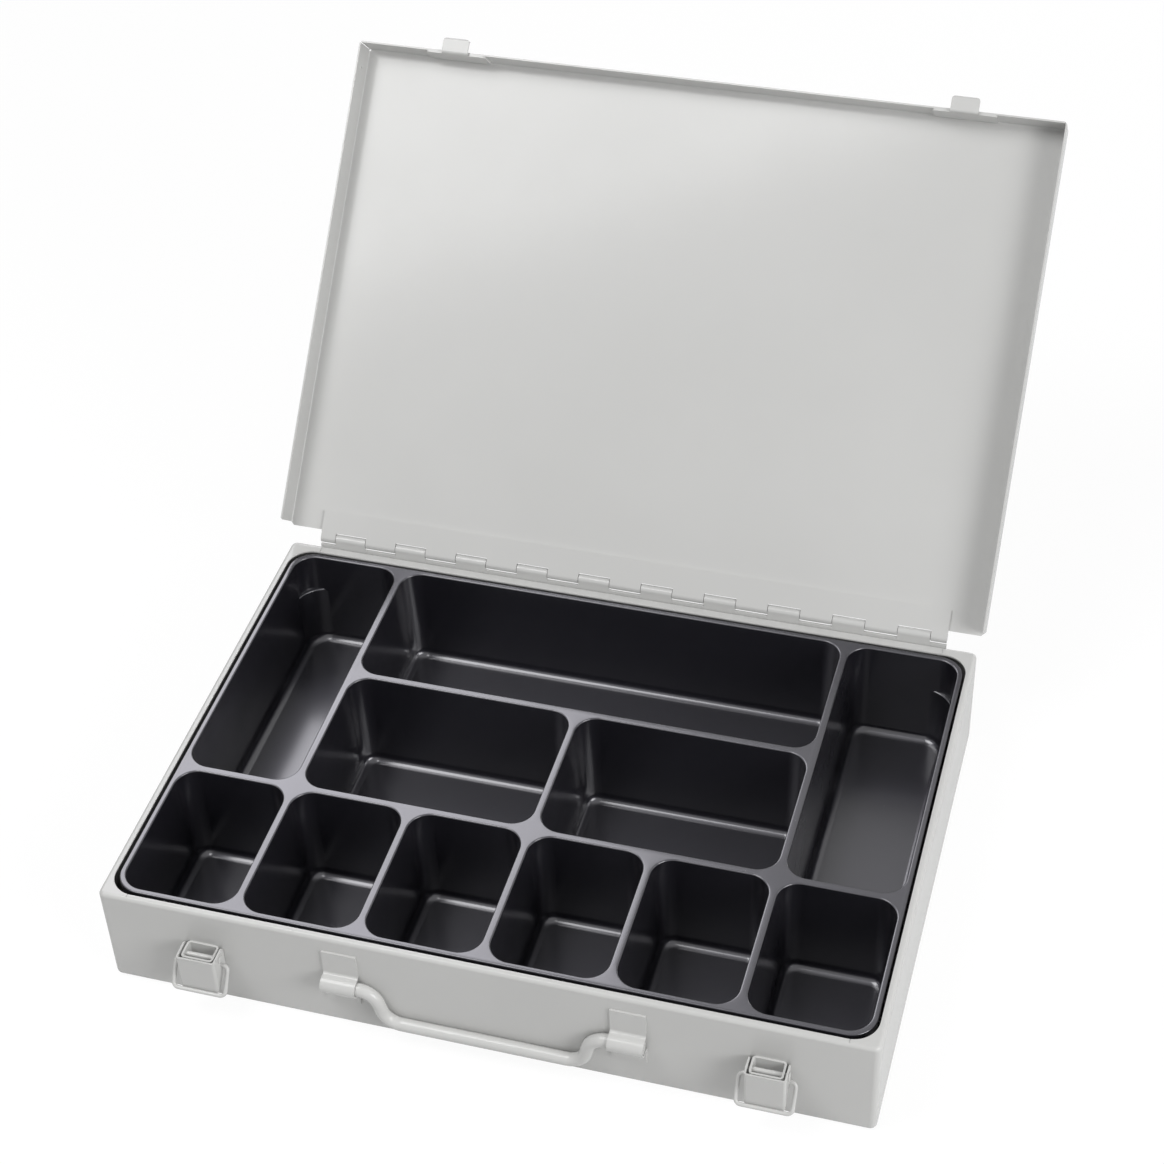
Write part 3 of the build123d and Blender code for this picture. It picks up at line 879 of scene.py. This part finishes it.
lever_left = block("latch_lever_left_folded", lever_low, lever_high)
slice_back(lever_left, heel, waist)
slice_back(lever_left, waist, foot)
round_edges(
    lever_left,
    lambda at, edge: along(edge, 0) and near(at.y, lever_high.y) and near(at.z, lever_high.z),
    EAR_BACK_ROUND,
)
round_edges(
    lever_left,
    lambda at, edge: along(edge, 0) and near(at.z, waist.z),
    EAR_LOWER_ROUND,
    segments=4,
)
round_edges(
    lever_left, lambda at, edge: along(edge, 2) and near(at.y, lever_low.y), LEVER_FOLD
)
drop_faces(lever_left, lambda _, face: face.normal.y > BACKWARD or looks_along(face, 2))
thicken(lever_left, LEVER_WALL)
face_out(lever_left)
bail_axis = pivot("latch_bail_left_pivot")
lever_reach = lever_high.x - lever_low.x + 4 * LEVER_WALL
drill(lever_left, RIVET_BORE, (latch_left, *latch_axis.yz), "X", lever_reach)
drill(lever_left, BAIL_BORE, (latch_left, *bail_axis.yz), "X", lever_reach)
face_out(lever_left)
shade(lever_left)
lever_right = twin(lever_left, "latch_lever_right_folded", LATCH_SPACING)
print("lever", [round(v, 2) for v in lever_left.dimensions / MM])

# %% [markdown]
# The rivet starts as a rod with its two ends pressed out into low heads: each end face
# is widened, and then extruded and narrowed in small steps.

# %% Press the rivets
RIVET, RIVET_HEAD, HEAD_HEIGHT = 3.0, 4.8, 0.8
# How much each step widens the rivet's end, and how far it moves it outwards
HEAD_STEPS = ((RIVET_HEAD / RIVET, 0), (1, 0.35), (0.93, 0.25), (0.8, 0.2))
rivet_low, rivet_high = corners("latch_pin_left")


def press_head(piece, x, outward):
    """Press one end of a rod out into a rounded head."""
    edit(piece)
    pick("FACE", lambda at, face: near(at.x, x) and looks_along(face, 0))
    for widen, advance in HEAD_STEPS:
        bpy.ops.mesh.extrude_region_move(
            TRANSFORM_OT_translate={"value": (outward * advance * MM, 0, 0)}
        )
        bpy.ops.transform.resize(value=(1, widen, widen))
    done()


ends = (rivet_low.x + HEAD_HEIGHT, rivet_high.x - HEAD_HEIGHT)
shank = [(end, *latch_axis.yz) for end in ends]
rivet_left = rod("latch_pin_left_pressed", RIVET / 2, shank, sides=24)
press_head(rivet_left, ends[0], -1)
press_head(rivet_left, ends[1], 1)
face_out(rivet_left)
shade(rivet_left)
rivet_right = twin(rivet_left, "latch_pin_right_pressed", LATCH_SPACING)

# %% [markdown]
# The bail is a round wire that follows its route from one ear, down beside the lever,
# across in front of it and back up to the other ear. It hangs at the slant at which its
# crossbar just clears the lever's front.

# %% Bend the bails
BAIL_WIRE, BAIL_REACH, BAIL_HALF, BAIL_BEND = 2.3, 18.1, 15.8, 3.0
BAIL_GAP, BAIL_END_INSET = 0.2, 0.25
bail_rest_y = lever_low.y - BAIL_GAP - BAIL_WIRE / 2
forward = bail_axis.y - bail_rest_y
hang = math.asin(forward / BAIL_REACH)
drop = BAIL_REACH * math.cos(hang)
stub = (lever_high.x - lever_low.x) / 2 - LEVER_WALL - BAIL_END_INSET


def bail_point(x, out):
    """A point of the bail at a distance out from its pivot, as it hangs."""
    return (latch_left + x, bail_axis.y - forward * out, bail_axis.z - drop * out)


bail_left = rod(
    "latch_bail_left_bent",
    BAIL_WIRE / 2,
    [
        bail_point(-stub, 0),
        bail_point(-BAIL_HALF, 0),
        bail_point(-BAIL_HALF, 1),
        bail_point(BAIL_HALF, 1),
        bail_point(BAIL_HALF, 0),
        bail_point(stub, 0),
    ],
    BAIL_BEND,
    sides=20,
)
shade(bail_left)
bail_right = twin(bail_left, "latch_bail_right_bent", LATCH_SPACING)
print("bail", [round(v, 2) for v in bail_left.dimensions / MM])

# %% [markdown]
# ## The handle and its brackets
#
# A bracket is a strap on the front wall that bulges out into a half-round bearing. Its
# route has four corners: two small ones at the roots and two large ones that make the
# half round.

# %% Bend the brackets
HANDLE_SHIFT, BRACKET_SPACING = 3.1, 166.7
BRACKET_WIDTH, BRACKET_WALL = 20.4, 1.2
BRACKET_LOW, BRACKET_HIGH = 21.0, 60.8
BEARING, BRACKET_ROOT = 4.25, 2.7
handle_axis = pivot("carry_handle_pivot")
bearing_front = handle_axis.y - BEARING
bracket_left = strip(
    "handle_bracket_left_bent",
    BRACKET_WIDTH,
    HANDLE_SHIFT - BRACKET_SPACING / 2,
    [
        (body_low.y, BRACKET_LOW),
        (body_low.y, handle_axis.z - BEARING),
        (bearing_front, handle_axis.z - BEARING),
        (bearing_front, handle_axis.z + BEARING),
        (body_low.y, handle_axis.z + BEARING),
        (body_low.y, BRACKET_HIGH),
    ],
    [BRACKET_ROOT, BEARING, BEARING, BRACKET_ROOT],
    BRACKET_WALL,
    (0, -1, 0),
)
shade(bracket_left)
bracket_right = twin(bracket_left, "handle_bracket_right_bent", BRACKET_SPACING)
print("bracket", [round(v, 2) for v in bracket_left.dimensions / MM])

# %% [markdown]
# The handle is a rod that leaves each bracket level, bends down and crosses below them as
# the grip. It hangs straight down, and its two ends are slightly rounded.

# %% Bend the handle
ROD, ROD_END_ROUND, ROD_END_INSET = 7.8, 0.5, 0.3
SHOULDER_X, GRIP_X, HANDLE_DROP, HANDLE_BEND = 63.2, 57.6, 23.5, 12.0
rod_end = BRACKET_SPACING / 2 + BRACKET_WIDTH / 2 - ROD_END_INSET


def rod_point(x, down):
    """A point of the hanging rod, from the handle's middle and down from its axis."""
    return (HANDLE_SHIFT + x, handle_axis.y, handle_axis.z - down)


handle = rod(
    "carry_handle_bent",
    ROD / 2,
    [
        rod_point(-rod_end, 0),
        rod_point(-SHOULDER_X, 0),
        rod_point(-GRIP_X, HANDLE_DROP),
        rod_point(GRIP_X, HANDLE_DROP),
        rod_point(SHOULDER_X, 0),
        rod_point(rod_end, 0),
    ],
    HANDLE_BEND,
    sides=36,
    steps=12,
)
round_edges(
    handle, lambda at, _: near(abs(at.x - HANDLE_SHIFT), rod_end), ROD_END_ROUND, segments=3
)
shade(handle)
print("handle", [round(v, 2) for v in handle.dimensions / MM])

# %% [markdown]
# ## The moulded insert
#
# The insert is one skin of glossy black plastic with eleven cells, which a mould draws
# from a single sheet. Each cell starts as a flat face with rounded corners at the mouth,
# and a row of insets carries it round the mouth's soft edge, down the slanting wall and
# round the floor's fillet. An inset keeps the same distance all round, so the corners
# stay round all the way down.

# %% Draw one cell
LIP_WIDTH, WEB = 3.5, 4.8
COLUMNS, ROWS = 6, 3
CELL_CORNER, MOUTH_ROUND, FLOOR_ROUND = 13.0, 1.0, 6.0
CORNER_STEPS, MOUTH_STEPS, FLOOR_STEPS = 10, 4, 8
DRAFT = math.tan(math.radians(3))
INSERT_WALL, FLOOR_WALL = 1.8, 2.0
cell_floor = insert_low.z + FLOOR_WALL
inner_width = insert_high.x - insert_low.x - 2 * LIP_WIDTH
inner_depth = insert_high.y - insert_low.y - 2 * LIP_WIDTH
column_width = (inner_width - (COLUMNS - 1) * WEB) / COLUMNS
row_depth = (inner_depth - (ROWS - 1) * WEB) / ROWS


def cell_place(column, row, across, deep):
    """The left, front, right and back of one cell's mouth."""
    left = insert_low.x + LIP_WIDTH + column * (column_width + WEB)
    front = insert_low.y + LIP_WIDTH + row * (row_depth + WEB)
    right = left + across * (column_width + WEB) - WEB
    back = front + deep * (row_depth + WEB) - WEB
    return left, front, right, back


def rounded_face(name, left, front, right, back, level, radius, segments):
    """A level face with rounded corners, picked in edit mode."""
    deselect()
    middle = Vector(((left + right) / 2, (front + back) / 2, level)) * MM
    bpy.ops.mesh.primitive_plane_add(size=1, location=middle)
    piece = bpy.context.object
    piece.name = name
    piece.scale = ((right - left) * MM, (back - front) * MM, 1)
    settle()
    edit(piece)
    bpy.ops.mesh.select_all(action="SELECT")
    bpy.ops.mesh.bevel(offset=radius * MM, segments=segments, affect="VERTICES")
    pick("FACE", lambda at, _: True)
    return piece


def step_in(inward, upward):
    """Inset the picked face and move it up or down."""
    bpy.ops.mesh.inset(thickness=inward * MM, depth=upward * MM, use_even_offset=True)


def quarter(radius, steps):
    """The steps of a quarter round, as pairs that start flat and end steep."""
    turns = [math.radians(90 * step / steps) for step in range(steps + 1)]
    for first, last in zip(turns, turns[1:]):
        flat, steep = math.sin(last) - math.sin(first), math.cos(first) - math.cos(last)
        yield radius * flat, radius * steep


def cell_skin(cell, grow=0, mouth=insert_high.z, corner=CELL_CORNER):
    """One cell from its mouth to its floor, grown outwards or started lower if asked."""
    left, front, right, back = cell_place(*cell)
    edge = MOUTH_ROUND + grow - (insert_high.z - mouth) * DRAFT
    sides = left - edge, front - edge, right + edge, back + edge
    skin = rounded_face("cell", *sides, mouth, corner + edge, CORNER_STEPS)
    for inward, down in quarter(MOUTH_ROUND, MOUTH_STEPS):
        step_in(inward, -down)
    wall = mouth - MOUTH_ROUND - cell_floor - FLOOR_ROUND + grow
    step_in(wall * DRAFT, -wall)
    for down, inward in quarter(FLOOR_ROUND, FLOOR_STEPS):
        step_in(inward, -down)
    done()
    return skin


# %% [markdown]
# The lip around the insert is made the other way round: a rounded face at the foot of the
# skirt is extruded up and inset over the soft edge. Then all the skins are joined. Some
# cells take up more than one column or row, so each is given by its first column and row
# and by how many it takes.

# %% Join the cells under one lip
LIP_CORNER, LIP_SKIRT, LIP_ROUND, LIP_STEPS = 15.5, 7.0, 1.0, 12
TALL_LEFT, TALL_RIGHT = (0, 1, 1, 2), (COLUMNS - 1, 1, 1, 2)
cells = [(column, 0, 1, 1) for column in range(COLUMNS)]
cells += [TALL_LEFT, TALL_RIGHT, (1, 2, COLUMNS - 2, 1), (1, 1, 2, 1), (3, 1, 2, 1)]

skirt_foot = insert_high.z - LIP_SKIRT
lip = rounded_face("lip", *insert_low.xy, *insert_high.xy, skirt_foot, LIP_CORNER, LIP_STEPS)
bpy.ops.mesh.extrude_region_move(
    TRANSFORM_OT_translate={"value": (0, 0, (LIP_SKIRT - LIP_ROUND) * MM)}
)
for up, inward in quarter(LIP_ROUND, MOUTH_STEPS):
    step_in(inward, up)
done()
drop_faces(lip, lambda _, face: looks_along(face, 2))
insert = join([lip] + [cell_skin(cell) for cell in cells], "compartment_insert_moulded")

# %% [markdown]
# The open edges at the top all lie in one plane, so one fill closes all the webs between
# the cells. A skin has no inside yet, so we look at the largest floor: it must face up
# before the wall grows behind it.

# %% Close the webs and give the skin its wall
edit(insert)
pick("FACE", lambda at, _: near(at.z, insert_high.z))
bpy.ops.mesh.delete(type="FACE")
open_edges = pick("EDGE", lambda at, edge: near(at.z, insert_high.z) and edge.is_boundary)
bpy.ops.mesh.fill()
done()
face_out(insert)
floor_face = max(
    insert.data.polygons,
    key=lambda face: face.area if near(face.center.z / MM, cell_floor) else 0,
)
if floor_face.normal.z < 0:
    edit(insert)
    bpy.ops.mesh.select_all(action="SELECT")
    bpy.ops.mesh.flip_normals()
    done()
thicken(insert, INSERT_WALL)
print("insert:", len(cells), "cells,", open_edges, "edges filled")

# %% [markdown]
# Both tall cells are filled out in their outer back corner, from the floor up to a soft
# ledge. We take a block in that corner, cross it with the cell's own hollow, grown by half
# a millimetre so that it bites into the wall, and cut it with a second hollow that starts
# at the ledge and has a wider corner. What is left is a lug with a hollow face.

# %% Stand the lugs in their corners
LUG_REACH, LUG_TOP, LUG_CORNER, LUG_BITE, LUG_PLAY = 24.0, 44.0, 18.5, 0.5, 0.05


def closed(hollow):
    """Close a cell's open mouth, so that booleans can use it."""
    edit(hollow)
    bpy.ops.mesh.select_all(action="SELECT")
    bpy.ops.mesh.fill_holes(sides=0)
    done()
    face_out(hollow)
    return hollow


for cell, side in ((TALL_LEFT, -1), (TALL_RIGHT, 1)):
    left, front, right, back = cell_place(*cell)
    corner_x = left if side < 0 else right
    lug = block(
        "lug",
        (corner_x - LUG_REACH, back - LUG_REACH, cell_floor - 2 * LUG_BITE),
        (corner_x + LUG_REACH, back + LUG_REACH, LUG_TOP - LUG_PLAY),
    )
    combine(lug, closed(cell_skin(cell, LUG_BITE)), "INTERSECT")
    combine(lug, closed(cell_skin(cell, LUG_PLAY, LUG_TOP, LUG_CORNER)), "DIFFERENCE")
    combine(insert, lug, "UNION")
shade(insert)
print("insert with lugs", len(insert.data.polygons), "faces")

# %% [markdown]
# ## Finishes
#
# Two effects are used by both finishes, so each is a node group: `uneven_surface` gives
# large soft patches and a fine grain, and `dust` gives a thin film on what looks up,
# broken up by noise, with a few specks. A group only puts out masks and heights. The
# shader itself stays in each material, where its own colours and roughness are set.

# %% Build the shared effects
PATCH_DETAIL, PATCH_RANGE, GRAIN_DETAIL = 3, (0.35, 0.65), 2
UPWARD_RANGE = (0.6, 1.0)
SPECK_EDGE, SPECK_RARITY = (0.10, 0.02), (0.975, 0.985)
VEIL_SCALE, VEIL_DETAIL, VEIL_RANGE = 45, 4, (0.4, 0.75)


def group(name, inputs, outputs):
    """An empty shader group with named float sockets."""
    tree = bpy.data.node_groups.new(name, "ShaderNodeTree")
    for label, value in inputs.items():
        socket = tree.interface.new_socket(label, in_out="INPUT", socket_type="NodeSocketFloat")
        socket.default_value = value
    for label in outputs:
        tree.interface.new_socket(label, in_out="OUTPUT", socket_type="NodeSocketFloat")
    return tree, tree.nodes.new("NodeGroupInput"), tree.nodes.new("NodeGroupOutput")


def noise(tree, scale, detail, place):
    """A noise texture on the object's own coordinates."""
    texture = tree.nodes.new("ShaderNodeTexNoise")
    for name, value in {"Scale": scale, "Detail": detail, "Vector": place}.items():
        feed(tree, value, texture.inputs[name])
    return texture.outputs["Fac"]


def ramp(tree, value, low, high, out_low=0.0, out_high=1.0):
    """Stretch a value from one range to another, and clamp it."""
    stretch = tree.nodes.new("ShaderNodeMapRange")
    names = ("Value", "From Min", "From Max", "To Min", "To Max")
    for name, setting in zip(names, (value, low, high, out_low, out_high)):
        feed(tree, setting, stretch.inputs[name])
    return stretch.outputs["Result"]


uneven, enter, leave = group(
    "uneven_surface", {"Patch scale": 8.0, "Grain scale": 900.0}, ("Patches", "Grain")
)
place = uneven.nodes.new("ShaderNodeTexCoord").outputs["Object"]
patches = noise(uneven, enter.outputs["Patch scale"], PATCH_DETAIL, place)
grain = noise(uneven, enter.outputs["Grain scale"], GRAIN_DETAIL, place)
feed(uneven, ramp(uneven, patches, *PATCH_RANGE), leave.inputs["Patches"])
feed(uneven, grain, leave.inputs["Grain"])

dust, enter, leave = group("dust", {"Film": 0.5, "Speck scale": 260.0}, ("Mask",))
place = dust.nodes.new("ShaderNodeTexCoord").outputs["Object"]
facing = dust.nodes.new("ShaderNodeSeparateXYZ")
normal = dust.nodes.new("ShaderNodeNewGeometry").outputs["Normal"]
feed(dust, normal, facing.inputs["Vector"])
upward = ramp(dust, facing.outputs["Z"], *UPWARD_RANGE)
spots = dust.nodes.new("ShaderNodeTexVoronoi")
feed(dust, place, spots.inputs["Vector"])
feed(dust, enter.outputs["Speck scale"], spots.inputs["Scale"])
chance = dust.nodes.new("ShaderNodeSeparateColor")
feed(dust, spots.outputs["Color"], chance.inputs["Color"])
spot = ramp(dust, spots.outputs["Distance"], *SPECK_EDGE)
speck = calculate(dust, "MULTIPLY", spot, ramp(dust, chance.outputs["Red"], *SPECK_RARITY))
veil = ramp(dust, noise(dust, VEIL_SCALE, VEIL_DETAIL, place), *VEIL_RANGE)
film = calculate(dust, "MULTIPLY", veil, enter.outputs["Film"])
both = calculate(dust, "MAXIMUM", film, speck)
feed(dust, calculate(dust, "MULTIPLY", both, upward), leave.inputs["Mask"])

# %% [markdown]
# The grey enamel is a smooth stoved paint: it is a little uneven in tone, has a very fine
# orange peel, and mirrors the lamps softly. The black plastic is glossier, much darker
# and slightly blue, and shows dust. Both mix two close colours by the soft patches.

# %% Mix the two finishes
def mix_colours(tree, share, first, second):
    """The mix of two colours, by a share from 0 to 1."""
    mix = tree.nodes.new("ShaderNodeMix")
    mix.data_type = "RGBA"
    for name, value in {"Factor": share, "A": first, "B": second}.items():
        feed(tree, value, mix.inputs[name])
    return mix.outputs["Result"]


def finish(name, light, dark, rough, shine, bump, patch_scale, grain_scale, film, dust_colour):
    """A finish from two close colours, a range of roughness and a fine grain."""
    material = bpy.data.materials.new(name)
    material.use_nodes = True
    tree = material.node_tree
    texture = tree.nodes.new("ShaderNodeGroup")
    texture.node_tree = uneven
    texture.inputs["Patch scale"].default_value = patch_scale
    texture.inputs["Grain scale"].default_value = grain_scale
    patches = texture.outputs["Patches"]
    dirt = tree.nodes.new("ShaderNodeGroup")
    dirt.node_tree = dust
    dirt.inputs["Film"].default_value = film
    relief = tree.nodes.new("ShaderNodeBump")
    relief.inputs["Strength"].default_value = 1.0
    relief.inputs["Distance"].default_value = bump
    feed(tree, texture.outputs["Grain"], relief.inputs["Height"])
    paint = mix_colours(tree, patches, (*light, 1), (*dark, 1))
    settings = {
        "Base Color": mix_colours(tree, dirt.outputs["Mask"], paint, (*dust_colour, 1)),
        "Roughness": ramp(tree, patches, 0, 1, *rough),
        "Normal": relief.outputs["Normal"],
        **shine,
    }
    for socket, value in settings.items():
        feed(tree, value, tree.nodes["Principled BSDF"].inputs[socket])
    return material


grey_enamel = finish(
    "enamel_paint",
    light=(0.61, 0.61, 0.60),
    dark=(0.59, 0.59, 0.58),
    rough=(0.13, 0.17),
    shine={"Specular IOR Level": 0.36},
    bump=0.000012,
    patch_scale=9,
    grain_scale=1100,
    film=0.0,
    dust_colour=(0.5, 0.5, 0.49),
)
black_plastic = finish(
    "moulded_plastic",
    light=(0.009, 0.0087, 0.0115),
    dark=(0.006, 0.0058, 0.0080),
    rough=(0.32, 0.40),
    shine={
        "Specular IOR Level": 0.45,
        "Specular Tint": (0.84, 0.82, 1.0, 1),
        "Coat Weight": 1.0,
        "Coat Roughness": 0.17,
        "Coat IOR": 1.65,
    },
    bump=0.000008,
    patch_scale=22,
    grain_scale=1500,
    film=0.015,
    dust_colour=(0.18, 0.18, 0.19),
)

# %% [markdown]
# ## Dress the frame
#
# Each finished piece stands for its imported node, gets its finish and rides on the body
# that the node belongs to.

# %% Put every piece on its body
dressed = {
    "body_shell": body,
    "lid_shell": lid,
    "hinge_leaf_body": leaf_body,
    "hinge_leaf_lid": leaf_lid,
    "hinge_pin": pin,
    "lid_catch_left": catch_left,
    "lid_catch_right": catch_right,
    "latch_tube_left": tube_left,
    "latch_tube_right": tube_right,
    "latch_pin_left": rivet_left,
    "latch_pin_right": rivet_right,
    "latch_lever_left": lever_left,
    "latch_lever_right": lever_right,
    "latch_bail_left": bail_left,
    "latch_bail_right": bail_right,
    "handle_bracket_left": bracket_left,
    "handle_bracket_right": bracket_right,
    "carry_handle": handle,
    "compartment_insert": insert,
}
bodies = frame["record"]["behaviour"]["bodies"]
for node, piece in dressed.items():
    owner = next(name for name, nodes in bodies.items() if node in nodes)
    moulded = node == "compartment_insert"
    coating = black_plastic if moulded else grey_enamel
    piece.data.materials.clear()
    piece.data.materials.append(coating)
    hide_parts(node)
    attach(piece, owner)
    low, high = corners(node)
    axes = zip(*(vertex.co / MM for vertex in piece.data.vertices))
    gap = max(max(abs(min(own) - a), abs(max(own) - b)) for own, a, b in zip(axes, low, high))
    print(f"{node:22s} {owner:12s} {len(piece.data.polygons):6d} faces, box off {gap:.2f} mm")

# %% [markdown]
# ## Print both boxes
#
# We print the dressed box and the imported one. The dressed box must not be larger than
# the imported one.

# %% Print both boxes
dressed_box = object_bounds()
for name, box in (("packed", cad_box), ("dressed", dressed_box)):
    print(name, [tuple(round(v, 4) for v in corner) for corner in box])
